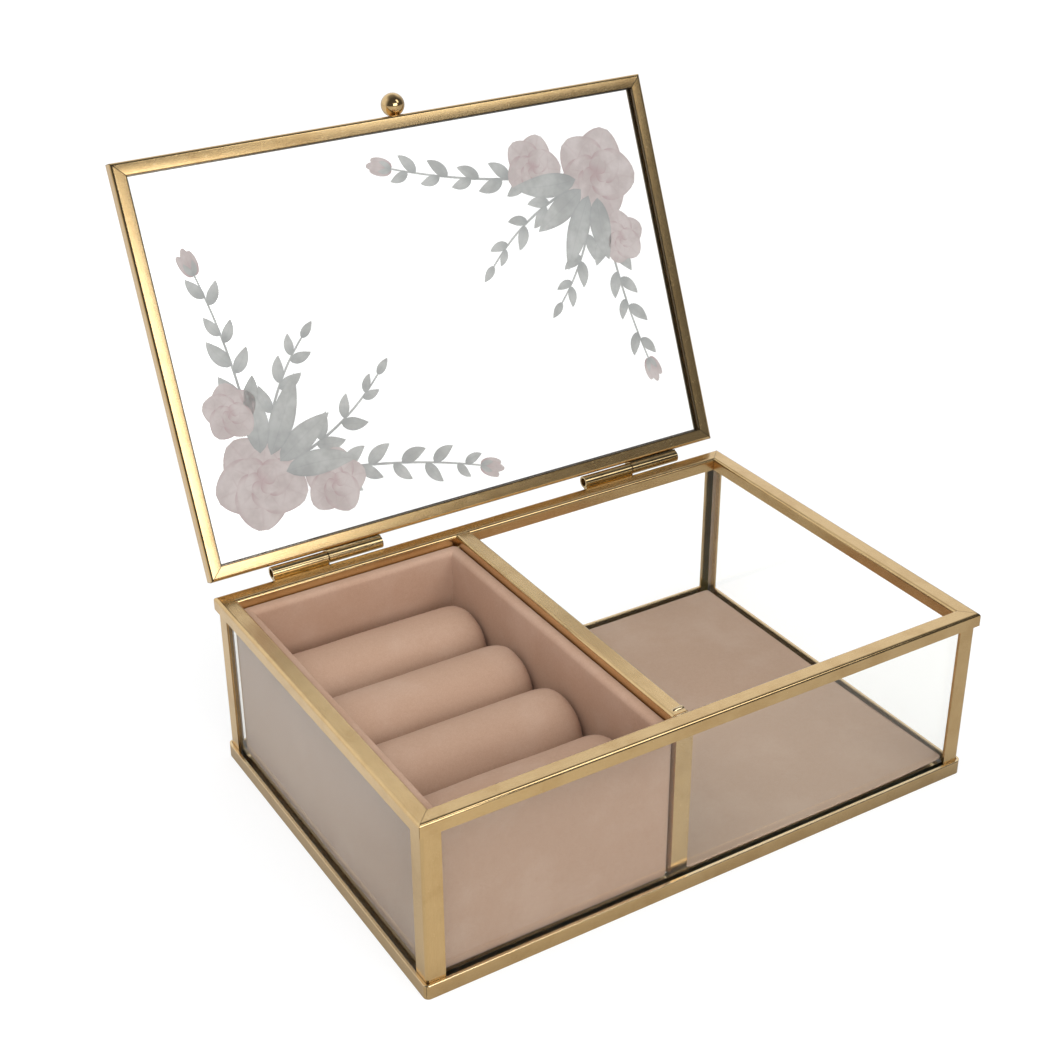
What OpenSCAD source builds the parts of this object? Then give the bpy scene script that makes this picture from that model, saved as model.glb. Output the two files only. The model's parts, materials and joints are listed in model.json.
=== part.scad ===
// Glass casket box. Brass strip is folded into angles and channels that hold clear panes. One
// compartment has a velvet floor pad, the other a lift-out velvet tray with foam ring rolls, and
// a framed glass lid swings on two barrel hinges at the rear.
// Origin: on the table, in the middle of the front base flange. X runs along the front, Y to the
// hinges, Z is up.

/* [Casket] */
// outside length of the rim and the base
casket_length = 180; // [150:1:220]
// outside depth of the rim and the base
casket_depth = 123; // [105:0.5:150]
// height of the rim's top over the table
casket_height = 55; // [45:1:75]

/* [Brass strip] */
// thickness of the folded sheet
sheet = 0.7; // [0.5:0.05:0.8]
// radius of a fold on its outside
fold_radius = 1; // [0.3:0.1:1.2]
// depth of the flanges of the rim and divider channels
channel_depth = 4; // [3:0.1:5]
// height of the upright strip round the base
base_strip_height = 4.6; // [4:0.1:6]
// width of the base strip's lower flange, under the floor glass
base_flange_width = 8; // [6:0.1:10]
// rounding of the base strip at the corners, seen from above
base_corner_radius = 1.5; // [1:0.1:1.6]
// width of each flange of a corner post
post_width = 5.5; // [4.5:0.1:7]

/* [Glass] */
// thickness of every pane
pane = 3; // [2:0.1:3.2]

/* [Divider] */
// middle of the divider, measured from the middle of the casket
divider_x = -10.3; // [-25:0.1:25]

/* [Lid] */
// length of the lid's frame
lid_length = 178.6; // [150:0.1:220]
// depth of the lid's frame, from its rear edge over the hinges
lid_depth = 121; // [100:0.1:150]
// width of the lid frame's flanges on the glass
lid_flange = 4.2; // [3:0.1:6]
// how far the lid stands open in the stored pose
lid_angle = 113; // [0:1:113]
// radius of the ball knob
knob_radius = 3.6; // [3:0.05:4]
// height of the ball over the middle of the frame's edge, so that it clears the rim
knob_rise = 0.9; // [0.9:0.05:1.5]

/* [Hinges] */
// outside radius of a hinge tube
tube_radius = 1.9; // [1.7:0.05:2.1]
// radius of the bore in a hinge tube
tube_bore = 1.3; // [1:0.05:1.4]
// length of a whole hinge
hinge_length = 36; // [24:1:44]
// distance between the middles of the two hinges
hinge_spread = 109; // [80:1:120]
// how far the pair of hinges, and the knob between them, sits to the right of the middle
hinge_shift = 1.7; // [-2:0.1:2]

/* [Ring tray] */
// height of the tray's walls, from its underside
tray_height = 48.2; // [38:0.1:48.4]
// thickness of a padded wall
tray_wall = 3.4; // [2.5:0.1:4.5]
// radius of the walls' corners, seen from above
tray_corner = 1.6; // [0.8:0.1:2]
// number of ring rolls side by side
roll_count = 4; // [4:1:4]
// height of a roll over the tray's floor
roll_height = 35; // [28:0.5:38]
// how far the ends of a roll are rounded over
roll_end = 5; // [2:0.5:7]
// how far the flanks of a roll draw in under its crown
roll_tuck = 0.8; // [0.2:0.1:2]

/* [Floor pad] */
// thickness of the velvet-covered card
pad_thickness = 0.9; // [0.6:0.1:1.5]
// rounding of the pad's corners
pad_corner = 1.5; // [0.5:0.1:3]

/* [Hidden] */
$fn = 48;

// play between a pane or post and the brass next to it
seat = 0.05;
post_play = 0.1;
// open line at a mitre, and extra length where one shape cuts another
mitre_gap = 0.1;
over = 1;

// everything is drawn about the casket's middle, and then moved back to stand on the origin
origin_to_middle = (casket_depth - base_flange_width) / 2;

// plan positions, worked inwards from the rim's outer face
post_inset = sheet + post_play;
pane_inset = post_inset + sheet + seat;
channel_width = pane_inset + pane + seat + sheet;
rim_underside = casket_height - sheet;
flange_foot = casket_height - channel_depth;
pane_foot = sheet + seat;
pane_top = rim_underside - seat;
floor_level = pane_foot + pane + seat;

// hinge line, just behind and above the rim's rear top edge
hinge_stand_off = 2.15;
hinge_rise = 0.9;
hinge_y = casket_depth / 2 + hinge_stand_off;
hinge_z = casket_height + hinge_rise;
knuckle_gap = 0.4;
knuckle_length = (hinge_length - knuckle_gap) / 2;
pin_radius = tube_bore - 0.05;
pin_recess = 1.2;
solder_rise = 2.9;

// lid, drawn closed on the rim and then swung open
lid_thickness = pane + 2 * (sheet + seat);
lid_pane_inset = sheet + 2 * seat;
lid_middle_y = casket_depth / 2 - lid_depth / 2;
knob_neck_radius = 1.7;
knob_neck_waist = 1.5;
knob_neck_height = 0.4;
knob_sunk = 0.3;

// tray, standing on the floor glass between the rim's inner flanges
tray_play = 0.4;
tray_left = -casket_length / 2 + channel_width + tray_play;
tray_right = divider_x - channel_width / 2 - tray_play;
tray_length = tray_right - tray_left;
tray_depth = casket_depth - 2 * (channel_width + tray_play);
tray_middle_x = (tray_left + tray_right) / 2;
tray_wall_crown = tray_wall / 2 - seat;
tray_wall_edge = 0.6;
tray_floor_thickness = 2;
tray_inner_length = tray_length - 2 * (tray_wall + seat);
tray_inner_depth = tray_depth - 2 * (tray_wall + seat);
roll_pitch = tray_inner_depth / roll_count;
roll_radius = roll_pitch / 2 - seat;
roll_foot = floor_level + tray_floor_thickness + seat;

module in_place() {
    translate([0, origin_to_middle, 0]) children();
}

// ---- plan shapes ----

// rectangle with rounded corners, about the origin
module rounded_plate(length, depth, radius) {
    square([length - 2 * radius, depth], center = true);
    square([length, depth - 2 * radius], center = true);
    for (sx = [-1, 1], sy = [-1, 1]) {
        translate([sx * (length / 2 - radius), sy * (depth / 2 - radius)]) circle(radius);
    }
}

// area that one side of a mitred frame takes up, seen from above; the side lies along -Y
module mitre_plan(run, cross, reach) {
    slip = mitre_gap / 2;
    polygon([
        [-run / 2 - over + slip, -cross / 2 - over],
        [run / 2 + over - slip, -cross / 2 - over],
        [run / 2 - reach - slip, -cross / 2 + reach],
        [-run / 2 + reach + slip, -cross / 2 + reach]
    ]);
}

// ---- strip profiles, outer face at x = 0 and foot at y = 0 ----

// channel that opens downwards, with its two top folds rounded
module channel_profile(width, depth) {
    difference() {
        union() {
            translate([fold_radius, 0]) square([width - 2 * fold_radius, depth]);
            square([width, depth - fold_radius]);
            for (x = [fold_radius, width - fold_radius]) {
                translate([x, depth - fold_radius]) circle(fold_radius);
            }
        }
        translate([sheet, -over]) square([width - 2 * sheet, depth - sheet + over]);
    }
}

// channel that opens inwards and grips the edge of the lid's pane
module lid_profile() {
    height = lid_thickness;
    difference() {
        union() {
            translate([fold_radius, 0]) square([lid_flange - fold_radius, height]);
            translate([0, fold_radius]) square([lid_flange, height - 2 * fold_radius]);
            for (y = [fold_radius, height - fold_radius]) {
                translate([fold_radius, y]) circle(fold_radius);
            }
        }
        translate([sheet, sheet]) square([lid_flange, height - 2 * sheet]);
    }
}

// ---- solids shared by several pieces ----

// sweeps a profile along X, with its outer face on the near side
module strip(run) {
    translate([-run / 2, 0, 0]) rotate([90, 0, 90]) linear_extrude(run) children();
}

// side 0 is the front, 1 the right, 2 the rear and 3 the left
module to_side(side) {
    rotate([0, 0, 90 * side]) children();
}

function side_run(side, length, depth) = side % 2 == 0 ? length : depth;

// one mitred side of a frame of channel or angle
module mitred_side(side, length, depth, reach, height) {
    run = side_run(side, length, depth);
    cross = side_run(side + 1, length, depth);
    to_side(side) intersection() {
        translate([0, -cross / 2, 0]) strip(run) children();
        translate([0, 0, -over]) linear_extrude(height + 2 * over) mitre_plan(run, cross, reach);
    }
}

// ---- base ----

module base_rim(side) {
    run = side_run(side, casket_length, casket_depth);
    cross = side_run(side + 1, casket_length, casket_depth);
    reach = base_flange_width + over;
    flange_hole = [casket_length - 2 * base_flange_width, casket_depth - 2 * base_flange_width];
    color("goldenrod") in_place() intersection() {
        difference() {
            linear_extrude(base_strip_height)
                rounded_plate(casket_length, casket_depth, base_corner_radius);
            translate([0, 0, sheet]) linear_extrude(base_strip_height)
                rounded_plate(
                    casket_length - 2 * sheet,
                    casket_depth - 2 * sheet,
                    base_corner_radius - sheet
                );
            translate([0, 0, -over]) linear_extrude(base_strip_height)
                square(flange_hole, center = true);
        }
        to_side(side) translate([0, 0, -over])
            linear_extrude(base_strip_height + 2 * over) mitre_plan(run, cross, reach);
    }
}

module base_glass() {
    inset = pane_inset + pane + seat;
    color("lightcyan", 0.4) in_place() translate([0, 0, pane_foot]) linear_extrude(pane)
        square([casket_length - 2 * inset, casket_depth - 2 * inset], center = true);
}

// ---- corner posts ----

// angle strip standing inside the base strip and up into the rim
module corner_post(sx, sy) {
    post_height = rim_underside - seat - pane_foot;
    color("darkgoldenrod") in_place() mirror([sx > 0 ? 1 : 0, 0, 0]) mirror([0, sy > 0 ? 1 : 0, 0])
        translate([-casket_length / 2 + post_inset, -casket_depth / 2 + post_inset, pane_foot])
            linear_extrude(post_height) difference() {
                union() {
                    translate([fold_radius, 0]) square([post_width - fold_radius, post_width]);
                    translate([0, fold_radius]) square([post_width, post_width - fold_radius]);
                    translate([fold_radius, fold_radius]) circle(fold_radius);
                }
                translate([sheet, sheet]) square(post_width);
            }
}

// ---- rim ----

module top_rim(side) {
    color("gold") in_place() translate([0, 0, flange_foot])
        mitred_side(side, casket_length, casket_depth, channel_width + over, channel_depth)
            channel_profile(channel_width, channel_depth);
}

// ---- panes ----

module long_pane(sy) {
    length = casket_length - 2 * pane_inset;
    middle_y = casket_depth / 2 - pane_inset - pane / 2;
    color("lightcyan", 0.4) in_place() translate([0, sy * middle_y, pane_foot])
        linear_extrude(pane_top - pane_foot) square([length, pane], center = true);
}

module short_pane(sx) {
    depth = casket_depth - 2 * (pane_inset + pane + seat);
    middle_x = casket_length / 2 - pane_inset - pane / 2;
    color("lightcyan", 0.4) in_place() translate([sx * middle_x, 0, pane_foot])
        linear_extrude(pane_top - pane_foot) square([pane, depth], center = true);
}

// ---- divider ----

divider_reach = casket_depth / 2 - pane_inset - pane - seat;

module divider_top_channel() {
    length = casket_depth - 2 * (channel_width + seat);
    color("gold") in_place() translate([divider_x - channel_width / 2, 0, flange_foot]) rotate([0, 0, 90])
        mirror([0, 1, 0]) strip(length) channel_profile(channel_width, channel_depth);
}

// upright channel on the floor glass, with its web against the front or rear pane
module divider_end_channel(sy) {
    color("darkgoldenrod") in_place() mirror([0, sy > 0 ? 1 : 0, 0])
        translate([divider_x, -divider_reach, floor_level])
            linear_extrude(flange_foot - seat - floor_level) difference() {
                translate([-channel_width / 2, 0]) square([channel_width, channel_depth]);
                translate([-channel_width / 2 + sheet, sheet])
                    square([channel_width - 2 * sheet, channel_depth]);
            }
}

module divider_glass() {
    depth = 2 * (divider_reach - sheet - seat);
    color("lightcyan", 0.4) in_place() translate([divider_x, 0, floor_level])
        linear_extrude(pane_top - floor_level) square([pane, depth], center = true);
}

// ---- floor pad ----

module floor_pad() {
    pad_play = 0.2;
    left = divider_x + channel_width / 2 + pad_play;
    right = casket_length / 2 - pane_inset - pane - pad_play;
    depth = casket_depth - 2 * (pane_inset + pane + pad_play);
    color("rosybrown") in_place() translate([(left + right) / 2, 0, floor_level])
        linear_extrude(pad_thickness) rounded_plate(right - left, depth, pad_corner);
}

// ---- hinges ----

function hinge_x(sx) = hinge_shift + sx * hinge_spread / 2;

// one bored tube of a hinge, with the solder that joins it to the strip in front of it
module knuckle(sx, end) {
    start = hinge_x(sx) + (end < 0 ? -hinge_length / 2 : knuckle_gap / 2);
    translate([start, hinge_y, hinge_z]) rotate([90, 0, 90]) difference() {
        union() {
            cylinder(h = knuckle_length, r = tube_radius);
            linear_extrude(knuckle_length) children();
        }
        translate([0, 0, -over]) cylinder(h = knuckle_length + 2 * over, r = tube_bore);
    }
}

// solder under the fixed tube, against the rim's rear flange
module case_tube(sx) {
    face = -hinge_stand_off + seat;
    color("gold") in_place() knuckle(sx, -1) polygon([
        [face, -hinge_rise - seat],
        [face, -hinge_rise - solder_rise],
        [0, -tube_bore - sheet / 2],
        [-tube_bore, -hinge_rise - seat]
    ]);
}

// solder over the moving tube, against the rear edge of the lid's frame
module lid_tube(sx) {
    face = -hinge_stand_off + seat;
    color("gold") in_place() as_opened() knuckle(sx, 1) polygon([
        [face, -hinge_rise + seat],
        [-tube_bore, -hinge_rise + seat],
        [-sheet / 2, tube_bore + sheet / 2],
        [face, solder_rise]
    ]);
}

module hinge_pin(sx) {
    length = hinge_length - 2 * pin_recess;
    color("peru") in_place() translate([hinge_x(sx), hinge_y, hinge_z]) rotate([0, 90, 0])
        cylinder(h = length, r = pin_radius, center = true);
}

// ---- lid ----

// swings what is drawn closed on the rim to the stored pose
module as_opened() {
    translate([0, hinge_y, hinge_z]) rotate([-lid_angle, 0, 0])
        translate([0, -hinge_y, -hinge_z]) children();
}

module lid_frame(side) {
    color("gold") in_place() as_opened() translate([0, lid_middle_y, casket_height])
        mitred_side(side, lid_length, lid_depth, lid_flange + over, lid_thickness)
            lid_profile();
}

module lid_glass() {
    size = [lid_length - 2 * lid_pane_inset, lid_depth - 2 * lid_pane_inset];
    color("lightcyan", 0.4) in_place() as_opened()
        translate([0, lid_middle_y, casket_height + sheet + seat])
            linear_extrude(pane) square(size, center = true);
}

// ball on a short solder neck, on the free edge of the frame
module lid_knob() {
    edge_y = lid_middle_y - lid_depth / 2 - seat;
    edge_z = casket_height + lid_thickness / 2 + knob_rise;
    color("gold") in_place() as_opened() translate([hinge_shift, edge_y, edge_z])
        rotate([90, 0, 0]) rotate_extrude() union() {
            intersection() {
                translate([0, knob_radius - knob_sunk]) circle(knob_radius);
                square([knob_radius + over, 2 * knob_radius]);
            }
            polygon([
                [0, 0],
                [knob_neck_radius, 0],
                [knob_neck_waist, knob_neck_height],
                [0, knob_radius]
            ]);
        }
}

// ---- ring tray ----

// wall along X about the origin, its top padded round on the inside and folded tight on the
// outside, which is the near side
module tray_wall_solid(run) {
    strip(run) translate([-tray_wall / 2, 0]) union() {
        square([tray_wall, tray_height - tray_wall_crown]);
        square([tray_wall - tray_wall_crown, tray_height - tray_wall_edge]);
        translate([tray_wall_edge, 0])
            square([tray_wall - tray_wall_edge - tray_wall_crown, tray_height]);
        translate([tray_wall_edge, tray_height - tray_wall_edge]) circle(tray_wall_edge);
        translate([tray_wall - tray_wall_crown, tray_height - tray_wall_crown])
            circle(tray_wall_crown);
    }
}

// the long walls run between the short ones
module tray_long_wall(sy) {
    color("rosybrown") in_place() translate([tray_middle_x, 0, floor_level])
        mirror([0, sy > 0 ? 1 : 0, 0]) translate([0, -(tray_depth - tray_wall) / 2, 0])
            tray_wall_solid(tray_inner_length);
}

// the short walls round the tray's corners
module tray_short_wall(sx) {
    color("rosybrown") in_place() translate([tray_middle_x, 0, floor_level]) intersection() {
        mirror([sx > 0 ? 1 : 0, 0, 0]) translate([-(tray_length - tray_wall) / 2, 0, 0])
            rotate([0, 0, -90]) tray_wall_solid(tray_depth);
        linear_extrude(tray_height + over) rounded_plate(tray_length, tray_depth, tray_corner);
    }
}

module tray_floor() {
    color("rosybrown") in_place() translate([tray_middle_x, 0, floor_level])
        linear_extrude(tray_floor_thickness)
            square([tray_inner_length, tray_inner_depth], center = true);
}

// foam bar in a velvet sleeve: a round crown with tucked-in, rounded ends, on narrower flanks
module ring_roll(row) {
    middle_y = (roll_count + 1 - 2 * row) * roll_pitch / 2;
    length = tray_inner_length - 2 * seat;
    crown_level = roll_height - roll_radius;
    color("tan") in_place() translate([tray_middle_x, middle_y, roll_foot]) {
        translate([0, 0, crown_level]) rotate([0, 90, 0]) rotate_extrude() intersection() {
            rounded_plate(2 * roll_radius, length, roll_end);
            translate([0, -length / 2]) square([roll_radius, length]);
        }
        linear_extrude(crown_level)
            rounded_plate(length - 2 * roll_tuck, 2 * (roll_radius - roll_tuck), roll_end);
    }
}

base_rim(0);  // base_rim_front
base_rim(1);  // base_rim_right
base_rim(2);  // base_rim_rear
base_rim(3);  // base_rim_left
base_glass();
corner_post(-1, -1);  // corner_post_front_left
corner_post(1, -1);  // corner_post_front_right
corner_post(1, 1);  // corner_post_rear_right
corner_post(-1, 1);  // corner_post_rear_left
top_rim(0);  // top_rim_front
top_rim(1);  // top_rim_right
top_rim(2);  // top_rim_rear
top_rim(3);  // top_rim_left
long_pane(-1);  // front_glass
short_pane(1);  // right_glass
long_pane(1);  // rear_glass
short_pane(-1);  // left_glass
divider_glass();
divider_top_channel();
divider_end_channel(-1);  // divider_front_channel
divider_end_channel(1);  // divider_rear_channel
floor_pad();
case_tube(-1);  // left_hinge_case_tube
case_tube(1);  // right_hinge_case_tube
hinge_pin(-1);  // left_hinge_pin
hinge_pin(1);  // right_hinge_pin
lid_frame(0);  // lid_frame_front
lid_frame(1);  // lid_frame_right
lid_frame(2);  // lid_frame_rear
lid_frame(3);  // lid_frame_left
lid_glass();
lid_knob();
lid_tube(-1);  // left_hinge_lid_tube
lid_tube(1);  // right_hinge_lid_tube
tray_long_wall(-1);  // tray_front_wall
tray_short_wall(1);  // tray_right_wall
tray_long_wall(1);  // tray_rear_wall
tray_short_wall(-1);  // tray_left_wall
tray_floor();
ring_roll(1);  // ring_roll_1
ring_roll(2);  // ring_roll_2
ring_roll(3);  // ring_roll_3
ring_roll(4);  // ring_roll_4
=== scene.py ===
"""Glass casket box: brass-edged panes, a velvet ring tray, an open compartment and a framed lid."""
import json
import math
import random
import bmesh
import bpy
from mathutils import Matrix, Vector, noise


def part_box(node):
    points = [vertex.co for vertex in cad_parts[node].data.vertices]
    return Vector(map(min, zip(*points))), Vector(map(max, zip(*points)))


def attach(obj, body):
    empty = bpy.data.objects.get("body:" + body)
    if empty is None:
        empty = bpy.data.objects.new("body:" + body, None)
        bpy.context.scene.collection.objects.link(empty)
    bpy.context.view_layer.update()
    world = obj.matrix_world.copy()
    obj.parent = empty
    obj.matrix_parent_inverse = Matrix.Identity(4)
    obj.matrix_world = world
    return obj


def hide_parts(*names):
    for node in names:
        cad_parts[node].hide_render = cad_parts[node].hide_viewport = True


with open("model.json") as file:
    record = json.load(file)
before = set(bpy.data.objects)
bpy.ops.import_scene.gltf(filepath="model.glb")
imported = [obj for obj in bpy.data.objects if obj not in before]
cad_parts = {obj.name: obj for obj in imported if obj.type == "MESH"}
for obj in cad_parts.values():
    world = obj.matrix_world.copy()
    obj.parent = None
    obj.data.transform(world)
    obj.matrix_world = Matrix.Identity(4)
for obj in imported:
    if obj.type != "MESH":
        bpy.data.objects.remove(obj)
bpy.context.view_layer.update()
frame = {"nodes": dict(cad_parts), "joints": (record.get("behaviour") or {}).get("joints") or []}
nodes = frame["nodes"]
MM = 0.001

# ---- Camera ----
# A long lens looks down on the box from its front left corner. Its aim is the middle of the base,
# moved in the picture plane until the box and the open lid fill the frame as photographed.
camera_azimuth = math.radians(-31.4203)
camera_elevation = math.radians(28.7521)
camera_roll = math.radians(-0.3058)
camera_distance = 533.235 * MM
aim_right = 20.031 * MM
aim_up = -71.322 * MM
lens_pixels = 1784.1
frame_pixels = 1048

base_low, base_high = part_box("base_glass")
casket_middle = Vector(((base_low.x + base_high.x) / 2, (base_low.y + base_high.y) / 2, 0))
towards_camera = Vector((
    math.sin(camera_azimuth) * math.cos(camera_elevation),
    -math.cos(camera_azimuth) * math.cos(camera_elevation),
    math.sin(camera_elevation),
))
level_right = (-towards_camera).cross(Vector((0, 0, 1))).normalized()
level_up = level_right.cross(-towards_camera)
roll_cos, roll_sin = math.cos(camera_roll), math.sin(camera_roll)
camera_right = level_right * roll_cos + level_up * roll_sin
camera_up = level_up * roll_cos - level_right * roll_sin

camera_data = bpy.data.cameras.new("camera")
camera_data.sensor_width = 36
camera_data.lens = camera_data.sensor_width * lens_pixels / frame_pixels
camera_data.clip_start = 0.05
camera_data.clip_end = 50
camera = bpy.data.objects.new("camera", camera_data)
bpy.context.scene.collection.objects.link(camera)
camera.location = (
    casket_middle + towards_camera * camera_distance - camera_right * aim_right - camera_up * aim_up
)
camera.rotation_mode = "QUATERNION"
camera.rotation_quaternion = (
    Matrix((camera_right, camera_up, towards_camera)).transposed().to_quaternion()
)
bpy.context.scene.camera = camera
bpy.context.scene.view_settings.view_transform = "Standard"


# ---- Studio ----
# A white room, bright behind the box and dark behind the camera, with a low cool window at the left,
# one wide soft lamp overhead and two in front. The pale floor is white where it is seen directly. In
# the brass and the glass it shows dim and warm, apart from a pale sheet at the left. Close round the
# box it is darker still, as a painted shadow.
class Signal:
    """An output of a shader node, on which sums can be written."""

    def __init__(self, shader, socket):
        self.shader = shader
        self.socket = socket

    def sum(self, operation, a, b=0):
        return self.shader.node("ShaderNodeMath", {"operation": operation}, {0: a, 1: b})

    def __add__(self, other):
        return self.sum("ADD", self, other)

    def __sub__(self, other):
        return self.sum("SUBTRACT", self, other)

    def __mul__(self, other):
        return self.sum("MULTIPLY", self, other)

    def __radd__(self, other):
        return self.sum("ADD", other, self)

    def __rsub__(self, other):
        return self.sum("SUBTRACT", other, self)

    def __rmul__(self, other):
        return self.sum("MULTIPLY", other, self)

    def most(self, other):
        return self.sum("MAXIMUM", self, other)

    def size(self):
        return self.sum("ABSOLUTE", self)

    def between(self, low, high):
        """0 at low, 1 at high, and a soft step from one to the other."""
        settings = {"interpolation_type": "SMOOTHSTEP"}
        sockets = {"Value": self, "From Min": low, "From Max": high}
        return self.shader.node("ShaderNodeMapRange", settings, sockets)


class Shader:
    """The node tree of a finish, or of the room."""

    def __init__(self, owner):
        owner.use_nodes = True
        self.owner = owner
        self.tree = owner.node_tree
        self.tree.nodes.clear()

    def node(self, kind, settings=None, sockets=None, out=0):
        made = self.tree.nodes.new(kind)
        for key, value in (settings or {}).items():
            setattr(made, key, value)
        for key, value in (sockets or {}).items():
            if isinstance(value, Signal):
                self.tree.links.new(value.socket, made.inputs[key])
            else:
                made.inputs[key].default_value = value
        return Signal(self, made.outputs[out]) if len(made.outputs) else self.owner

    def colour_mix(self, share, a, b):
        return self.node("ShaderNodeMix", {"data_type": "RGBA"}, {0: share, 6: a, 7: b}, out=2)

    def spots(self, place, scale, detail=2, roughness=0.5):
        """Soft noise from 0 to 1, with about `scale` blots to the unit of place."""
        sockets = {"Vector": place, "Scale": scale, "Detail": detail, "Roughness": roughness}
        return self.node("ShaderNodeTexNoise", {}, sockets)

    def along(self, place, direction):
        """How far a point or a direction goes along another direction."""
        settings = {"operation": "DOT_PRODUCT"}
        return self.node("ShaderNodeVectorMath", settings, {0: place, 1: direction}, out="Value")

    def ray(self, kind):
        return self.node("ShaderNodeLightPath", out=f"Is {kind} Ray")

    def paths(self):
        """Whether this is seen directly or only through glass, and whether it is mirrored."""
        mirrors = self.node("ShaderNodeLightPath", out="Glossy Depth").between(0.2, 0.8)
        scatters = self.node("ShaderNodeLightPath", out="Diffuse Depth").between(0.2, 0.8)
        through = self.ray("Transmission") * (1 - mirrors) * (1 - scatters)
        return self.ray("Camera").most(through), self.ray("Glossy") * mirrors


def swatch(red, green, blue):
    """A colour as read off a screen, from 0 to 255, as a shader wants it."""
    parts = [v / 255 for v in (red, green, blue)]
    return (*[v / 12.92 if v < 0.04 else ((v + 0.055) / 1.055) ** 2.4 for v in parts], 1)


room_level = 0.74
shine_behind_camera = 0.08
shine_behind_box = 0.84
window_colour = (1.6, 1.8, 2.15)
room = Shader(bpy.data.worlds.new("room"))
bpy.context.scene.world = room.owner
outlook = room.node("ShaderNodeTexCoord", out="Generated")
behind_box = room.along(outlook, (0, 1, 0)).between(-0.30, 0.45)
ceiling = room.along(outlook, (0, 0, 1)).between(0.62, 0.95)
right_side = room.along(outlook, (1, 0, 0)).between(0.60, 0.95)
low_window = 1 - room.along(outlook, (0, 0, 1)).between(0.05, 0.32)
left_window = room.along(outlook, (-1, 0, 0)).between(0.1, 0.9) * low_window
shine_level = (
    shine_behind_camera
    + shine_behind_box * behind_box * (1 - 0.8 * ceiling) * (1 - 0.5 * right_side)
)
seen, mirrored = room.paths()
lighting = (1 - seen) * (1 - mirrored)
room_white = seen + mirrored * shine_level + lighting * room_level
window_light = room.node(
    "ShaderNodeVectorMath", {"operation": "SCALE"}, {0: window_colour, "Scale": lighting * left_window}
)
room_colour = room.node(
    "ShaderNodeVectorMath", {"operation": "ADD"}, {0: room_white, 1: window_light}
)
room_light = room.node("ShaderNodeBackground", {}, {"Color": room_colour})
room.node("ShaderNodeOutputWorld", {}, {"Surface": room_light})

floor_reach = 6
floor_level = -0.02 * MM
floor_grey = (0.36, 0.36, 0.36, 1)
floor_warmth = (1, 0.88, 0.66)
floor_corners = ((-1, -1), (1, -1), (1, 1), (-1, 1))
floor_mesh = bpy.data.meshes.new("studio_floor")
floor_mesh.from_pydata(
    [(x * floor_reach, y * floor_reach, floor_level) for x, y in floor_corners], [], [(0, 1, 2, 3)]
)
floor = bpy.data.objects.new("studio_floor", floor_mesh)
bpy.context.scene.collection.objects.link(floor)
paper = Shader(bpy.data.materials.new("studio_floor"))
paper_place = paper.node("ShaderNodeTexCoord", out="Object")
paper_x = paper.along(paper_place, (1, 0, 0))
paper_y = paper.along(paper_place, (0, 1, 0))
beside_box = (paper_x.size() - base_high.x).most(
    (paper_y - casket_middle.y).size() - (base_high.y - casket_middle.y)
)
paper_seen, paper_mirrored = paper.paths()
paper_shine = 0.68 + 0.16 * beside_box.between(0.1, 1.2) + 0.12 * paper.ray("Transmission")
to_right = paper_x.between(-0.06, 0.14)
to_left = paper.along(paper_place, (-1, 0, 0)).between(0.08, 0.12)
to_back = paper_y.between(-0.02, 0.20)
# Painted shadow: in reflections the floor is darker within 14 mm of the box. Apart from that it is
# dimmer to the right, left and back.
mirrored_shine = (
    0.13 + 0.18 * beside_box.between(4 * MM, 14 * MM)
    - 0.17 * to_right - 0.07 * to_left - 0.05 * to_back
)
left_sheet = 0.24 * to_left * paper_y.between(0.03, 0.09)
warm_shine = paper.node(
    "ShaderNodeVectorMath", {"operation": "MULTIPLY_ADD"},
    {0: floor_warmth, 1: mirrored_shine, 2: left_sheet},
)
paper_light = paper.colour_mix(paper_mirrored, paper_seen * paper_shine, warm_shine)
paper_glow = paper.node("ShaderNodeEmission", {}, {"Color": paper_light, "Strength": 1})
paper_white = paper.node("ShaderNodeBsdfDiffuse", {}, {"Color": floor_grey})
paper_shown = paper.node("ShaderNodeAddShader", {}, {0: paper_white, 1: paper_glow})
floor_mesh.materials.append(paper.node("ShaderNodeOutputMaterial", {}, {"Surface": paper_shown}))


def soft_lamp(name, direction, distance, width, height, level, in_brass=True):
    """A flat lamp that faces the box, `level` times as bright as white paper; brass may mirror it."""
    lamp = bpy.data.lights.new(name, "AREA")
    lamp.shape = "RECTANGLE"
    lamp.size = width
    lamp.size_y = height
    lamp.energy = level * math.pi * width * height
    holder = bpy.data.objects.new(name, lamp)
    holder.location = casket_middle + Vector(direction).normalized() * distance
    holder.rotation_mode = "QUATERNION"
    holder.rotation_quaternion = Vector(direction).to_track_quat("Z", "Y")
    holder.visible_glossy = in_brass
    bpy.context.scene.collection.objects.link(holder)


soft_lamp(
    "lamp_overhead", direction=(-0.45, -0.25, 1), distance=1.4,
    width=1.1, height=1.1, level=1.55, in_brass=False,
)
soft_lamp(
    "lamp_front", direction=(-0.01, -0.92, 0.39), distance=1.3, width=0.92, height=0.50, level=3.5
)
soft_lamp(
    "lamp_front_right", direction=(0.42, -0.54, 0.72), distance=1.3, width=0.34, height=0.60, level=2.2
)

# ---- Base strip ----
# Thin brass sheet folded into an angle, cut to a mitre at each corner and soldered. The floor's
# glass lies on its lower flange. As on all the strips, the faces are satin, with fine brushing along
# the run, and the folds are burnished bright.
brass_face = swatch(224, 192, 138)
brass_deep = swatch(192, 154, 96)
brass_pale = swatch(240, 216, 174)
brass_seam_and_shade = swatch(70, 54, 30)
brushing_width = 0.25 * MM
brushing_length = 4 * MM
lip_height = 0.8 * MM
lip_round = 0.30 * MM
hinge_line = Vector(next(j["pos_m"] for j in frame["joints"] if j["name"] == "lid_hinge"))


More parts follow.
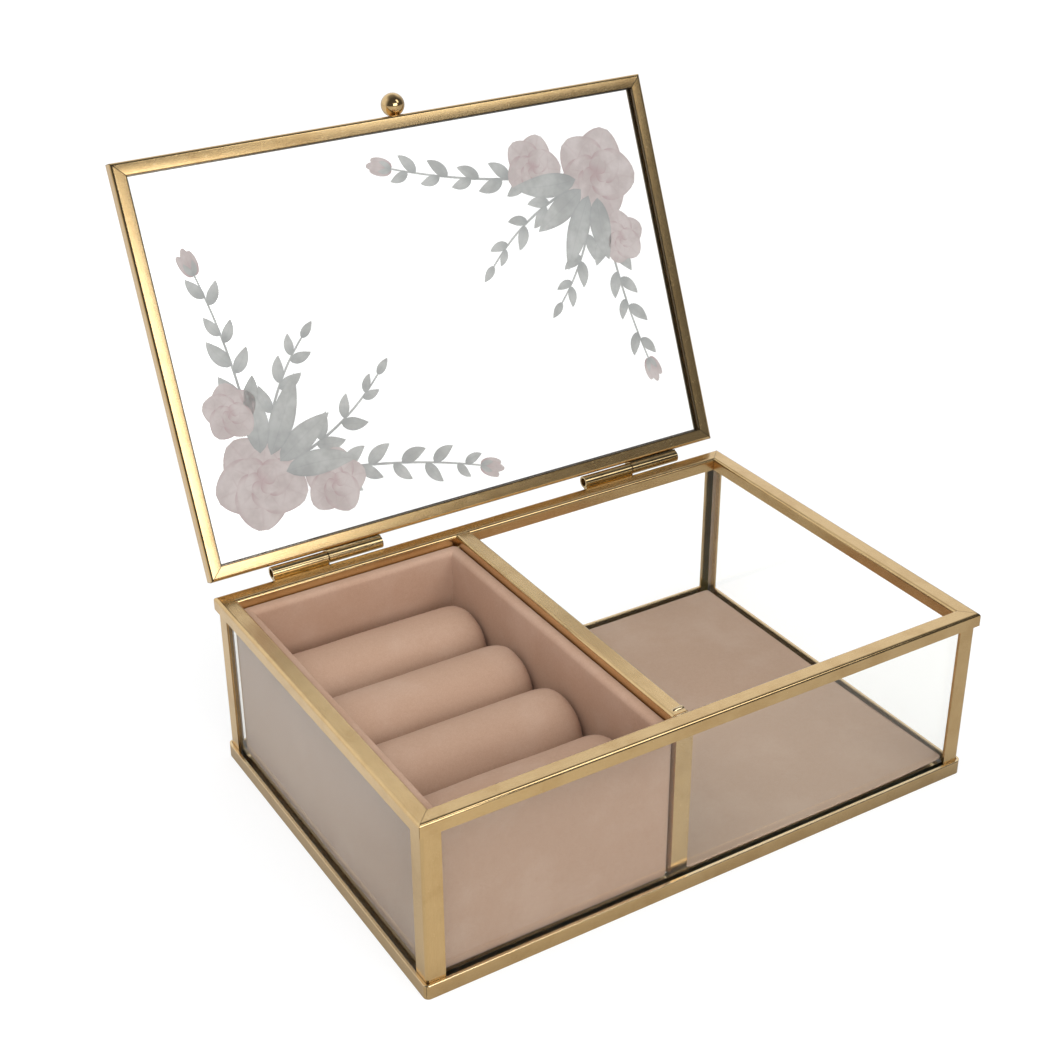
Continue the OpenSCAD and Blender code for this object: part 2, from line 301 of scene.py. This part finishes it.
def brass(
    name, run, swing=0.0, face=brass_face, deep=brass_deep, polish=0.0,
    frame_of=None, crown=0.0, lip=0.0,
):
    """Lacquered brass worked along X, Y or Z, which are 0, 1 and 2, and then swung about X.

    Strips round a frame have dark seams at its mitres, and a line of painted shade just inside the
    cut edge of its strips; frame_of is the frame's length, depth and middle, how dark the seams and
    that painted shade are, and where the cut edge of its strips lies. Folding has left the middle of
    a strip a little higher than its edges, by the crown. A lip is the level of an upper edge that
    shearing has rounded over, and below which a band is painted pale as a highlight.
    """
    finish = Shader(bpy.data.materials.new(name))
    place = finish.node("ShaderNodeTexCoord", out="Object")
    facing = finish.node("ShaderNodeTexCoord", out="Normal")
    grain = [brushing_width] * 3
    grain[run] = brushing_length
    brushed = finish.node(
        "ShaderNodeMapping", {"vector_type": "TEXTURE"},
        {"Vector": place, "Rotation": (swing, 0, 0), "Scale": grain},
    )
    brush = finish.spots(brushed, 1, 3, 0.6)
    speckle = finish.spots(place, 2200, 2, 0.7)
    handled = finish.spots(place, 110, 3, 0.55)
    turned = Matrix.Rotation(swing, 3, "X")
    flatness = 0
    for axis in range(3):
        flatness = finish.along(facing, turned.col[axis]).size().most(flatness)
    burnished = (1 - flatness.between(0.90, 0.995)).most(polish)
    shade = finish.colour_mix(handled.between(0.42, 0.72) * 0.38, face, deep)
    shade = finish.colour_mix(brush.between(0.30, 0.85) * 0.25, shade, deep)
    shade = finish.colour_mix(speckle.between(0.50, 0.80) * 0.35, shade, brass_pale)
    satin = 0.15 + 0.10 * brush + 0.09 * speckle
    bright = 0.08 + 0.07 * speckle
    roughness = satin + (bright - satin) * burnished
    if frame_of:
        length, depth, middle, dark, cut = frame_of
        level_y = turned.col[1]
        from_end = length / 2 - (finish.along(place, (1, 0, 0)) - middle.x).size()
        flat_y = finish.along(place, level_y) + (hinge_line.y - level_y.dot(hinge_line) - middle.y)
        from_side = depth / 2 - flat_y.size()
        seam = (1 - (from_end - from_side).size().between(0.06 * MM, 0.24 * MM)) * dark
        nearest = from_end + from_side - from_end.most(from_side)
        # Painted shade: a dark line just inside the cut edge, where the lip shades the glass.
        rim = nearest.between(cut - 0.50 * MM, cut - 0.25 * MM) * dark
        shade = finish.colour_mix(seam.most(rim), shade, brass_seam_and_shade)
    rub = brush * 0.6 + speckle * 0.4
    worked = {"Strength": 0.14, "Distance": 0.02 * MM, "Height": rub}
    if frame_of and crown:
        across = (nearest * (1 / cut) - 0.5) * 2
        crowned = {"Strength": 1, "Distance": crown, "Height": 1 - across * across}
        worked["Normal"] = finish.node("ShaderNodeBump", {}, crowned)
    if lip:
        below_lip = finish.along(place, (0, 0, 1)).between(lip - lip_height, lip)
        # Painted highlight: the band below the lip is painted pale, and the bump rounds it over.
        shade = finish.colour_mix(below_lip * 0.8, shade, brass_pale)
        rounded = {"Strength": 1, "Distance": lip_round, "Height": 1 - below_lip * below_lip}
        worked["Normal"] = finish.node("ShaderNodeBump", {}, rounded)
    bump = finish.node("ShaderNodeBump", {}, worked)
    metal = finish.node(
        "ShaderNodeBsdfPrincipled", {},
        {
            "Base Color": shade, "Metallic": 1.0, "Roughness": roughness, "Normal": bump,
            "Coat Weight": 0.6, "Coat Roughness": 0.16,
        },
    )
    return finish.node("ShaderNodeOutputMaterial", {}, {"Surface": metal})


def dress(material, *names):
    for name in names:
        mesh = nodes[name].data
        mesh.materials.clear()
        mesh.materials.append(material)


rim_length = -2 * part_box("top_rim_left")[0].x
rim_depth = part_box("top_rim_rear")[1].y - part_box("top_rim_front")[0].y
faint_seams = 0.22
cut_out_of_sight = 1
rim_frame = (rim_length, rim_depth, casket_middle, faint_seams, cut_out_of_sight)
# The base strips' upper edge is rounded over, and below it a band is painted pale as a highlight.
base_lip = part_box("base_rim_front")[1].z
base_along_x = brass("brass_base_along_x", 0, frame_of=rim_frame, lip=base_lip)
base_along_y = brass("brass_base_along_y", 1, frame_of=rim_frame, lip=base_lip)
dress(base_along_x, "base_rim_front", "base_rim_rear")
dress(base_along_y, "base_rim_right", "base_rim_left")

# ---- Corner posts and divider uprights ----
# Brass angles hold the upright edges of the wall panes at the corners, and brass channels those of
# the divider's pane. All are soldered to the base strip and to the rim.
brass_upright = brass("brass_worked_upright", 2)
dress(brass_upright, "corner_post_front_left", "corner_post_front_right")
dress(brass_upright, "corner_post_rear_right", "corner_post_rear_left")
dress(brass_upright, "divider_front_channel", "divider_rear_channel")

# ---- Top rim and divider channel ----
# Brass channel folded over the top edges of the wall panes, with a mitre at each corner. Another
# channel covers the top edge of the divider's pane, from the front to the rear.
brass_along_x = brass("brass_worked_along_x", 0, frame_of=rim_frame)
brass_along_y = brass("brass_worked_along_y", 1, frame_of=rim_frame)
dress(brass_along_x, "top_rim_front", "top_rim_rear")
dress(brass_along_y, "top_rim_right", "top_rim_left", "divider_top_channel")

# ---- Lid frame ----
# Brass channel folded round the edges of the lid's pane. Its mitres are dark joints. Along its cut
# edge by the glass, a dark line of painted shade stands for the lip's shadow. Folding has left the
# strips a little crowned.
lid_swing = math.radians(-113)
swing_shut = Matrix.Rotation(-lid_swing, 3, "X")
lid_flange = 4.2 * MM
lid_crown = 0.07 * MM
# How dark the lid frame's mitre seams are, and how dark the painted shade along its cut edge is.
dark_seams_and_edge_shade = 0.9


def shut_points(*names):
    """Where the points of the lid's nodes are when the lid is shut."""
    points = [vertex.co for name in names for vertex in nodes[name].data.vertices]
    return [hinge_line + swing_shut @ (p - hinge_line) for p in points]


lid_points = shut_points("lid_frame_left", "lid_frame_right", "lid_frame_front", "lid_frame_rear")
lid_low = Vector([min(p[axis] for p in lid_points) for axis in range(3)])
lid_high = Vector([max(p[axis] for p in lid_points) for axis in range(3)])
lid_size = lid_high - lid_low
lid_frame = (lid_size.x, lid_size.y, (lid_low + lid_high) / 2, dark_seams_and_edge_shade, lid_flange)
lid_long = brass("brass_lid_long_sides", 0, lid_swing, frame_of=lid_frame, crown=lid_crown)
lid_short = brass("brass_lid_short_sides", 1, lid_swing, frame_of=lid_frame, crown=lid_crown)
dress(lid_long, "lid_frame_front", "lid_frame_rear")
dress(lid_short, "lid_frame_left", "lid_frame_right")


# ---- Solder ----
# Soft solder in the valley where the divider's channel meets the rim's inner fold. It was left as
# it set, smooth and a little lumpy, and coloured with the brass.
def heading(degrees):
    return Vector((math.cos(math.radians(degrees)), math.sin(math.radians(degrees))))


def ripple(point, size, height):
    """Soft unevenness, as a shift of up to `height` over patches of a size."""
    return noise.noise(Vector(point) / size) * height


def loft(name, rings, material, joined=False):
    """A mesh through rings of equally many points, with filled ends or joined into a loop."""
    mesh = bmesh.new()
    rows = [[mesh.verts.new(p) for p in ring] for ring in rings]
    around = len(rows[0])
    for low, high in zip(rows, rows[1:] + rows[:joined]):
        for i in range(around):
            j = (i + 1) % around
            mesh.faces.new((low[i], low[j], high[j], high[i]))
    for row in () if joined else (rows[0], rows[-1]):
        middle = mesh.verts.new(sum((v.co for v in row), Vector()) / around)
        for i in range(around):
            mesh.faces.new((row[i], row[(i + 1) % around], middle))
    bmesh.ops.recalc_face_normals(mesh, faces=mesh.faces)
    data = bpy.data.meshes.new(name)
    mesh.to_mesh(data)
    mesh.free()
    data.shade_smooth()
    data.materials.append(material)
    piece = bpy.data.objects.new(name, data)
    bpy.context.scene.collection.objects.link(piece)
    return piece


def subdivide(piece):
    smooth = piece.modifiers.new("smooth", "SUBSURF")
    smooth.levels = smooth.render_levels = 1


solder_brass = brass("solder_bright", 0, 0, brass_pale, brass_face, polish=1.0)
divider_low, divider_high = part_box("divider_top_channel")
divider_middle = (divider_low.x + divider_high.x) / 2


def solder_run(name, from_x, to_x, y, radius, level):
    """An uneven run of solder along X, with its middle at a level."""
    rings = []
    for step in range(17):
        share = step / 16
        x = divider_middle + from_x + (to_x - from_x) * share
        full = radius * (1 - (2 * share - 1) ** 4) ** 0.5 + 0.03 * MM
        full *= 1 + ripple((x, y, radius), 1.8 * MM, 0.10)
        rings.append([
            Vector((x, y + full * heading(30 * turn).x, level + full * heading(30 * turn).y))
            for turn in range(12)
        ])
    bead = loft(name, rings, solder_brass)
    subdivide(bead)
    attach(bead, "casket")


drop_radius = 0.86 * MM
drop_level = divider_high.z - 0.36 * MM
valley_radius = 0.34 * MM
valley_level = divider_high.z - 0.42 * MM
front_drop = divider_low.y + 1.90 * MM, drop_radius, drop_level
front_valley = divider_low.y - 0.28 * MM, valley_radius, valley_level
rear_valley = divider_high.y + 0.28 * MM, valley_radius, valley_level
solder_run("solder_divider_front_drop", -1.6 * MM, 2.6 * MM, *front_drop)
solder_run("solder_divider_front_valley", -2.5 * MM, 2.5 * MM, *front_valley)
solder_run("solder_divider_rear_valley", -2.5 * MM, 2.3 * MM, *rear_valley)

# ---- Hinges ----
# Two barrel hinges of drawn brass tube. One tube of each is soldered to the rim, the other to the
# lid, and a pin runs through both. The pin is painted dark as painted shade in the tubes' sunk ends.
tube_face = swatch(214, 188, 138)
tube_deep = swatch(128, 102, 62)
hinge_brass = brass("hinge_drawn_brass", 0, 0, tube_face, tube_deep, polish=0.75)
# The pin's ends sit sunk in the tubes; its dark colour is painted shade.
pin_brass = brass("hinge_pin_painted_shade", 0, 0, swatch(96, 80, 56), swatch(60, 48, 34), polish=0.2)
dress(hinge_brass, "left_hinge_case_tube", "right_hinge_case_tube")
dress(hinge_brass, "left_hinge_lid_tube", "right_hinge_lid_tube")
dress(pin_brass, "left_hinge_pin", "right_hinge_pin")

# ---- Knob ----
# A polished brass ball by which the lid is lifted. It is soldered by a short foot to the middle of
# the lid frame's free edge.
dress(brass("knob_polished_brass", 0, 0, brass_face, brass_deep, polish=0.9), "lid_knob")


# ---- Glass ----
# Clear float glass, 3 mm thick, slipped into the channels before they were soldered. Only its cut
# edges look green, and they are ground dull.
def clear_glass(name, thin_axis, swing=0.0):
    """Clear glass, with a green tint on the cut edges round its two large faces."""
    finish = Shader(bpy.data.materials.new(name))
    facing = finish.node("ShaderNodeTexCoord", out="Normal")
    across = Matrix.Rotation(swing, 3, "X").col[thin_axis]
    edge = 1 - finish.along(facing, across).size().between(0.3, 0.7)
    tint = finish.colour_mix(edge, swatch(254, 255, 254), swatch(92, 108, 84))
    pane = finish.node(
        "ShaderNodeBsdfPrincipled", {},
        {"Base Color": tint, "Roughness": 0.35 * edge, "IOR": 1.5, "Transmission Weight": 1.0},
    )
    clear = finish.node("ShaderNodeBsdfTransparent", {}, {"Color": (0.95, 0.96, 0.955, 1)})
    shown = finish.node("ShaderNodeMixShader", {}, {0: finish.ray("Shadow"), 1: pane, 2: clear})
    return finish.node("ShaderNodeOutputMaterial", {}, {"Surface": shown})


dress(clear_glass("glass_front_and_rear", 1), "front_glass", "rear_glass")
dress(clear_glass("glass_sides", 0), "left_glass", "right_glass", "divider_glass")
dress(clear_glass("glass_floor", 2), "base_glass")
dress(clear_glass("glass_lid", 2, lid_swing), "lid_glass")

# ---- Lid print ----
# A pale print on the inner face of the lid's glass: five-petalled blossoms with buds and leafy
# sprigs in two opposite corners. The ink is thin, and paler where it ran out.
pane_rear = max(p.y for p in shut_points("lid_glass"))
pane_inner = min(p.z for p in shut_points("lid_glass"))
swing_open = Matrix.Rotation(lid_swing, 3, "X")
print_random = random.Random(7)
ink_first = 0.01
ink_step = 0.0007
ink_thick = 0.006


class Print:
    """Ink shapes of one colour, gathered into one mesh on the inner face of the lid's glass."""

    def __init__(self):
        self.points = []
        self.faces = []
        self.spots = []
        self.layer = 0

    def place(self, x, s, lift):
        """x runs along the lid and s from its hinge edge; both and lift are in millimetres."""
        p = Vector((x * MM, pane_rear - s * MM, pane_inner - lift * MM))
        return hinge_line + swing_open @ (p - hinge_line)

    def blade(self, line, half_widths, ribs=4):
        """A thin closed shape round a line, as wide at each of its points as half_widths says."""
        first = len(self.points)
        self.layer += 1
        under = ink_first + ink_step * self.layer
        across = 2 * ribs + 1
        last = len(line) - 1
        for top in (under + ink_thick, under):
            for i, (point, half) in enumerate(zip(line, half_widths)):
                run = line[min(i + 1, last)] - line[max(i - 1, 0)]
                side = Vector((-run.y, run.x)).normalized()
                for rib in range(-ribs, ribs + 1):
                    p = point + side * half * rib / ribs
                    self.points.append(self.place(p.x, p.y, top))
                    self.spots.append((i / last, 0.5 + 0.5 * rib / ribs))
        sheet = across * len(line)

        def face(*corners):
            self.faces.append([first + c for c in corners])

        for i in range(last):
            for rib in range(across - 1):
                a, b = i * across + rib, (i + 1) * across + rib
                face(a, a + 1, b + 1, b)
                face(sheet + b, sheet + b + 1, sheet + a + 1, sheet + a)
            for a, b in ((i * across, (i + 1) * across), ((i + 2) * across - 1, (i + 1) * across - 1)):
                face(a, b, sheet + b, sheet + a)
        for rib in range(across - 1):
            face(rib + 1, rib, sheet + rib, sheet + rib + 1)
            end = last * across + rib
            face(end, end + 1, sheet + end + 1, sheet + end)

    def finish(self, name, material):
        mesh = bpy.data.meshes.new(name)
        mesh.from_pydata(self.points, [], self.faces)
        share = mesh.uv_layers.new(name="ink")
        for loop in mesh.loops:
            share.data[loop.index].uv = self.spots[loop.vertex_index]
        mesh.materials.append(material)
        piece = bpy.data.objects.new(name, mesh)
        bpy.context.scene.collection.objects.link(piece)
        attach(piece, "lid")


def ink(name, face, deep, pale):
    """Thin ink: deeper at the root of each shape and in a line along its rim, and cloudy."""
    finish = Shader(bpy.data.materials.new(name))
    place = finish.node("ShaderNodeTexCoord", out="Object")
    share = finish.node("ShaderNodeUVMap", {"uv_map": "ink"})
    root = 1 - finish.along(share, (1, 0, 0)).between(0.0, 0.62)
    from_middle = (finish.along(share, (0, 1, 0)) - 0.5).size()
    rim = from_middle.between(0.38, 0.5)
    vein = 1 - from_middle.between(0.0, 0.05)
    cloud = finish.spots(place, 130, 3, 0.6)
    shade = finish.colour_mix(cloud.between(0.35, 0.65), face, pale)
    shade = finish.colour_mix(root * 0.5 + rim * 0.2 + vein * 0.14, shade, deep)
    thin_ink = finish.node(
        "ShaderNodeBsdfPrincipled", {},
        {"Base Color": shade, "Roughness": 0.6, "Alpha": 0.82 + 0.14 * cloud},
    )
    return finish.node("ShaderNodeOutputMaterial", {}, {"Surface": thin_ink})


def curve(start, towards, length, bend, steps=12):
    """Points of a line that starts in a direction, in degrees, and turns by `bend` on its way."""
    line = [Vector(start)]
    for step in range(steps):
        line.append(line[-1] + heading(towards + bend * (step + 0.5) / steps) * length / steps)
    return line


def leaf(sheet, start, towards, length, width, bend=18):
    """A leaf with a pointed tip, broadest a little before its middle."""
    line = curve(start, towards, length, bend)
    shape = [math.sin(math.pi * (i / 12) ** 0.8) ** 0.85 for i in range(13)]
    sheet.blade(line, [width / 2 * part + 0.05 for part in shape])


def sprig(sheet, start, towards, length, bend, pairs, leaf_length):
    """A stem with leaves in pairs that grow smaller to its tip, where it gives its last point."""
    stem = curve(start, towards, length, bend, 20)
    sheet.blade(stem, [0.45 - 0.2 * i / 20 for i in range(21)], ribs=1)
    for pair in range(pairs):
        at = 20 * (pair + 0.6) / (pairs + 0.4)
        size = leaf_length * (1 - 0.4 * pair / pairs)
        for side in (-1, 1):
            way = towards + bend * at / 20 + side * print_random.uniform(34, 56)
            long = size * print_random.uniform(0.85, 1.15)
            leaf(sheet, stem[int(at) + (side > 0)], way, long, long * 0.44, -side * 24)
    return stem[-1], towards + bend


def petal(sheet, start, towards, length, width):
    """A broad petal with a round tip."""
    line = curve(start, towards, length, print_random.uniform(-10, 10), 14)
    shape = [math.sin(math.pi * (0.05 + 0.935 * (i / 14) ** 0.75)) ** 0.55 for i in range(15)]
    sheet.blade(line, [width / 2 * part for part in shape])


def blossom(petals, hearts, middle, radius):
    """Five broad petals, two rings of shorter ones over them, and seeds in the middle."""
    turn = print_random.uniform(0, 72)
    for ring, size in enumerate((1.0, 0.66, 0.38)):
        for i in range(5):
            towards = turn + 72 * i + 36 * ring + print_random.uniform(-6, 6)
            petal(petals, middle, towards, radius * size, radius * size * 1.15)
    for i in range(9):
        seed_way = 40 * i + turn
        leaf(hearts, middle + heading(seed_way) * radius * 0.13, seed_way, radius * 0.1, radius * 0.07)


def bud(petals, leaves, start, towards, length):
    """A closed bud of three petals between two small leaves."""
    for side in (-1, 1):
        petal(petals, start, towards + side * 18, length * 0.95, length * 0.5)
    petal(petals, start, towards, length * 1.1, length * 0.5)
    for side in (-1, 1):
        leaf(leaves, start, towards + side * 34, length * 0.6, length * 0.22, -side * 30)


petal_print, heart_print, leaf_print = Print(), Print(), Print()


def corner_spray(x, s, turn):
    """Blossoms in a corner, with sprigs along both edges; turn points to the pane's middle."""
    centre = Vector((x, s))
    for aside, away, length, bend, pairs, size in (
        (-47, 18, 54, -14, 5, 10), (-24, 15, 34, 26, 3, 9),
        (26, 14, 30, -24, 3, 9), (48, 16, 46, 14, 4, 10),
    ):
        start = centre + heading(turn + aside) * away
        tip, way = sprig(leaf_print, start, turn + aside, length, bend, pairs, size)
        if abs(aside) > 40:
            bud(petal_print, leaf_print, tip, way, 7.5)
        else:
            leaf(leaf_print, tip, way, 6, 2.6, 0)
    for aside, length in ((-36, 23), (-10, 21), (14, 25), (38, 20)):
        leaf(leaf_print, centre + heading(turn + aside) * 8, turn + aside, length, 7.5, aside / 2)
    blossom(petal_print, heart_print, centre, 14.5)
    blossom(petal_print, heart_print, centre + heading(turn - 56) * 23, 10)
    blossom(petal_print, heart_print, centre + heading(turn + 60) * 22, 8.5)


corner_spray(66, 92, 222)
corner_spray(-67, 24, 42)
leaf_print.finish(
    "lid_print_leaves",
    ink("ink_sage_grey", swatch(167, 168, 165), swatch(142, 145, 144), swatch(184, 185, 182)),
)
petal_print.finish(
    "lid_print_petals",
    ink("ink_blush", swatch(184, 173, 170), swatch(168, 140, 141), swatch(196, 187, 184)),
)
heart_print.finish(
    "lid_print_hearts",
    ink("ink_seed", swatch(172, 156, 141), swatch(154, 128, 115), swatch(182, 170, 156)),
)


# ---- Floor pad ----
# A card covered in short-pile velvet, its edges turned under. It lies loose in the compartment,
# and its front right corner has lifted a little.
def velvet(name, face, shade, pale):
    """Short-pile velvet: fine pile, and soft areas where the pile has been stroked the other way."""
    finish = Shader(bpy.data.materials.new(name))
    place = finish.node("ShaderNodeTexCoord", out="Object")
    pile = finish.spots(place, 3400, 2, 0.65)
    tufts = finish.spots(place, 900, 2, 0.5)
    stroked = finish.spots(place, 48, 4, 0.55)
    cloth = finish.colour_mix(0.2 + 0.35 * pile.between(0.25, 0.8) + 0.3 * tufts, shade, face)
    cloth = finish.colour_mix(stroked.between(0.42, 0.72) * 0.14, cloth, pale)
    bump = finish.node("ShaderNodeBump", {}, {"Strength": 0.03, "Distance": 0.1 * MM, "Height": pile})
    fabric = finish.node(
        "ShaderNodeBsdfPrincipled", {},
        {
            "Base Color": cloth, "Roughness": 0.95, "Normal": bump,
            "Sheen Weight": 0.30, "Sheen Roughness": 0.4, "Sheen Tint": pale,
            "Specular IOR Level": 0.1,
        },
    )
    return finish.node("ShaderNodeOutputMaterial", {}, {"Surface": fabric})


def rounding(radius, distance):
    """How far a rounded edge has drawn in, at a distance from where it ends."""
    short = radius - min(distance, radius)
    return radius - math.sqrt(radius ** 2 - short ** 2)


def covered_card(name, node, corner, edge, material, rise):
    """A card covered in cloth in the box of a node: round at its rim, and lifted by a rule."""
    low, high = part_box(node)
    length, depth, thick = high - low
    middle = (low + high) / 2
    ends = [corner * (1 - heading(15 * step).x) for step in range(7)]
    inner = length - 2 * corner
    stations = ends + [corner + inner * (step + 1) / 24 for step in range(23)]
    stations += [length - along for along in reversed(ends)]
    rings = []
    for along in stations:
        from_end = min(along, length - along)
        flat = depth / 2 - rounding(corner, from_end) - edge
        swell = thick / 2 - 0.7 * rounding(edge, from_end)
        half = [(flat * (2 * step / 20 - 1), -swell) for step in range(21)]
        half += [(flat + edge * heading(a).x, swell * heading(a).y) for a in (-60, -30, 0, 30, 60)]
        ring = []
        for y, z in half + [(-y, -z) for y, z in half]:
            p = middle + Vector((along - length / 2, y, z))
            ring.append(p + Vector((0, 0, rise(p.x, p.y, 0.5 + z / thick))))
        rings.append(ring)
    card = loft(name, rings, material)
    subdivide(card)
    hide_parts(node)
    return card


pad_velvet = velvet(
    "velvet_floor_pad", swatch(190, 165, 145), swatch(170, 142, 121), swatch(215, 197, 182)
)
pad_low, pad_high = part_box("floor_pad")
pad_corner = 1.5 * MM
pad_edge = 0.45 * MM
pad_lift = 1.1 * MM
pad_curl_reach = 34 * MM


def pad_rise(x, y, share):
    from_corner = (Vector((x, y)) - Vector((pad_high.x, pad_low.y))).length
    curl = max(0.0, 1 - from_corner / pad_curl_reach) ** 2 * pad_lift
    return curl + share * ripple((x, y, 0), 30 * MM, 0.12 * MM)


floor_pad = covered_card(
    "velvet_floor_pad", "floor_pad", pad_corner, pad_edge, pad_velvet, pad_rise
)
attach(floor_pad, "casket")

# ---- Ring tray walls and floor ----
# Four card walls with a thin layer of foam, glued round a card floor and covered in one velvet
# strip. Their inner top edges are padded round, and the pile fills the play between tray and rim.
tray_velvet = velvet(
    "velvet_tray", swatch(193, 161, 139), swatch(168, 134, 112), swatch(220, 198, 182)
)
tray_walls = ("tray_front_wall", "tray_right_wall", "tray_rear_wall", "tray_left_wall")
tray_low = Vector([min(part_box(name)[0][axis] for name in tray_walls) for axis in range(3)])
tray_high = Vector([max(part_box(name)[1][axis] for name in tray_walls) for axis in range(3)])
tray_middle = (tray_low + tray_high) / 2
tray_half = (tray_high - tray_low) / 2
wall_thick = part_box("tray_left_wall")[1].x - tray_low.x
wall_crown = 1.65 * MM
wall_edge = 0.6 * MM
pile_length = 0.3 * MM
foot_bevel = 0.2 * MM
tray_corner = 1.6 * MM
tray_crease = 0.2 * MM
cover_give = 0.14 * MM
glued_height = 9 * MM
tray_floor_corner = 0.6 * MM
tray_floor_edge = 0.5 * MM


def inside_outline(depth, quarter, turn, share):
    """A point at a depth inside the tray's outline, on a turn of a corner or on the side after it."""
    radius = max(tray_corner - depth, tray_crease)

    def on_corner(number, degrees):
        way = heading(45 + 90 * number)
        return Vector((
            tray_middle.x + math.copysign(tray_half.x - depth - radius, way.x),
            tray_middle.y + math.copysign(tray_half.y - depth - radius, way.y),
        )) + radius * heading(degrees)

    after = 90 * (quarter + 1)
    return on_corner(quarter, 90 * quarter + turn).lerp(on_corner(quarter + 1, after), share)


wall_section = [
    (wall_thick, tray_low.z + (tray_high.z - wall_crown - tray_low.z) * step / 10)
    for step in range(10)
]
for a in range(0, 91, 15):
    swell = wall_crown * heading(a)
    wall_section.append((wall_thick - wall_crown + swell.x, tray_high.z - wall_crown + swell.y))
for a in range(0, 91, 30):
    swell = wall_edge * heading(90 + a)
    wall_section.append((wall_edge - pile_length + swell.x, tray_high.z - wall_edge + swell.y))
wall_section += [
    (-pile_length, tray_low.z + (tray_high.z - wall_edge - tray_low.z) * (9 - step) / 10)
    for step in range(10)
]
wall_section += [(foot_bevel - pile_length, tray_low.z), (wall_thick - foot_bevel, tray_low.z)]
wall_rings = []
for quarter in range(4):
    turns = [(15 * step, 0) for step in range(7)] + [(90, step / 24) for step in range(1, 24)]
    for turn, share in turns:
        ring = []
        for depth, z in wall_section:
            p = inside_outline(depth, quarter, turn, share)
            if depth > wall_thick / 2:
                free = min((z - tray_low.z) / glued_height, 1)
                give = cover_give + ripple((p.x, p.y, z), 16 * MM, cover_give)
                p = inside_outline(depth - give * free, quarter, turn, share)
            ring.append(Vector((p.x, p.y, z)))
        wall_rings.append(ring)
tray_cover = loft("velvet_tray_walls", wall_rings, tray_velvet, joined=True)
subdivide(tray_cover)
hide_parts(*tray_walls)
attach(tray_cover, "ring_tray")


def tray_floor_rise(x, y, share):
    return share * (ripple((x, y, 0), 20 * MM, 0.1 * MM) - 0.05 * MM)


tray_floor = covered_card(
    "velvet_tray_floor", "tray_floor", tray_floor_corner, tray_floor_edge,
    tray_velvet, tray_floor_rise,
)
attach(tray_floor, "ring_tray")

# ---- Ring rolls ----
# Four bars of foam, each in a velvet sleeve whose ends are tucked in. They stand side by side on
# the tray's floor, and rings are pushed into the grooves between them.
roll_velvet = velvet(
    "velvet_rolls", swatch(193, 163, 142), swatch(169, 137, 115), swatch(218, 197, 182)
)
roll_end = 5 * MM
roll_tuck = 0.8 * MM
roll_slack = 0.45 * MM
held_end = 2 * MM
held_foot = 1.5 * MM
settled_height = 6 * MM
sleeve_ripple = 0.25 * MM
sleeve_mesh = 2.2 * MM
swelling_steps = 20


def puff(piece, held, most):
    """Lets a closed sleeve swell over its foam, by less than `most`, where it isn't held."""
    scene = bpy.context.scene
    even = piece.modifiers.new("even", "REMESH")
    even.mode = "VOXEL"
    even.voxel_size = sleeve_mesh
    graph = bpy.context.evaluated_depsgraph_get()
    mesh = bpy.data.meshes.new_from_object(piece.evaluated_get(graph))
    piece.modifiers.clear()
    piece.data = mesh
    mesh.shade_smooth()
    pinned = piece.vertex_groups.new(name="pinned")
    pinned.add([vertex.index for vertex in mesh.vertices if held(vertex.co)], 1.0, "REPLACE")
    cloth = piece.modifiers.new("cloth", "CLOTH")
    cloth.settings.use_pressure = True
    cloth.settings.uniform_pressure_force = 4
    cloth.settings.effector_weights.gravity = 0
    cloth.settings.vertex_group_mass = pinned.name
    for step in range(1, swelling_steps + 1):
        scene.frame_set(step)
    graph = bpy.context.evaluated_depsgraph_get()
    swollen = [vertex.co.copy() for vertex in piece.evaluated_get(graph).data.vertices]
    piece.modifiers.remove(cloth)
    scene.frame_set(1)
    for vertex, end in zip(mesh.vertices, swollen):
        move = end - vertex.co
        vertex.co += move / (1 + move.length / most)


def ring_roll(node, seed):
    """A roll in the box of a node, drawn a little slack and then puffed up to fill it."""
    low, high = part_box(node)
    middle = (low + high) / 2
    radius = (high.y - low.y) / 2 - roll_slack
    centre = high.z - (high.y - low.y) / 2
    from_x, to_x = low.x + roll_slack, high.x - roll_slack
    ends = [(roll_end * (1 - heading(a).x), roll_end * (1 - heading(a).y)) for a in range(0, 90, 11)]
    inner = to_x - from_x - 2 * roll_end
    stations = [(from_x + x, shrink) for x, shrink in ends]
    stations += [(from_x + roll_end + inner * step / 20, 0) for step in range(21)]
    stations += [(to_x - x, shrink) for x, shrink in reversed(ends)]
    rings = []
    for x, shrink in stations:
        crown = radius - shrink
        foot = crown - roll_tuck
        flank = centre - low.z
        half = [(crown * heading(a).x, centre + crown * heading(a).y) for a in range(90, -13, -6)]
        half += [(foot, low.z + flank * share) for share in (0.72, 0.54, 0.36, 0.18, 0.04)]
        half += [(foot * share, low.z) for share in (0.96, 0.7, 0.35)]
        ring = []
        for y, z in half + [(-y, z) for y, z in reversed(half[1:])]:
            free = min((z - low.z) / settled_height, 1)
            out = Vector((0, y, max(z - centre, 0) + 0.001 * MM)).normalized()
            soft = ripple((x + 3 * seed, y + seed, z), 15 * MM, sleeve_ripple)
            ring.append(Vector((x, y + middle.y, z)) + out * soft * free)
        rings.append(ring)
    roll = loft("velvet_" + node, rings, roll_velvet)
    tip_reach = 0.45 * radius

    def held(p):
        from_axis = math.hypot(p.y - middle.y, p.z - centre)
        at_tip = min(p.x - from_x, to_x - p.x) < held_end and from_axis < tip_reach
        return at_tip or p.z < low.z + held_foot

    puff(roll, held, roll_slack)
    subdivide(roll)
    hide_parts(node)
    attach(roll, "ring_tray")


for row in range(1, 5):
    ring_roll(f"ring_roll_{row}", row)
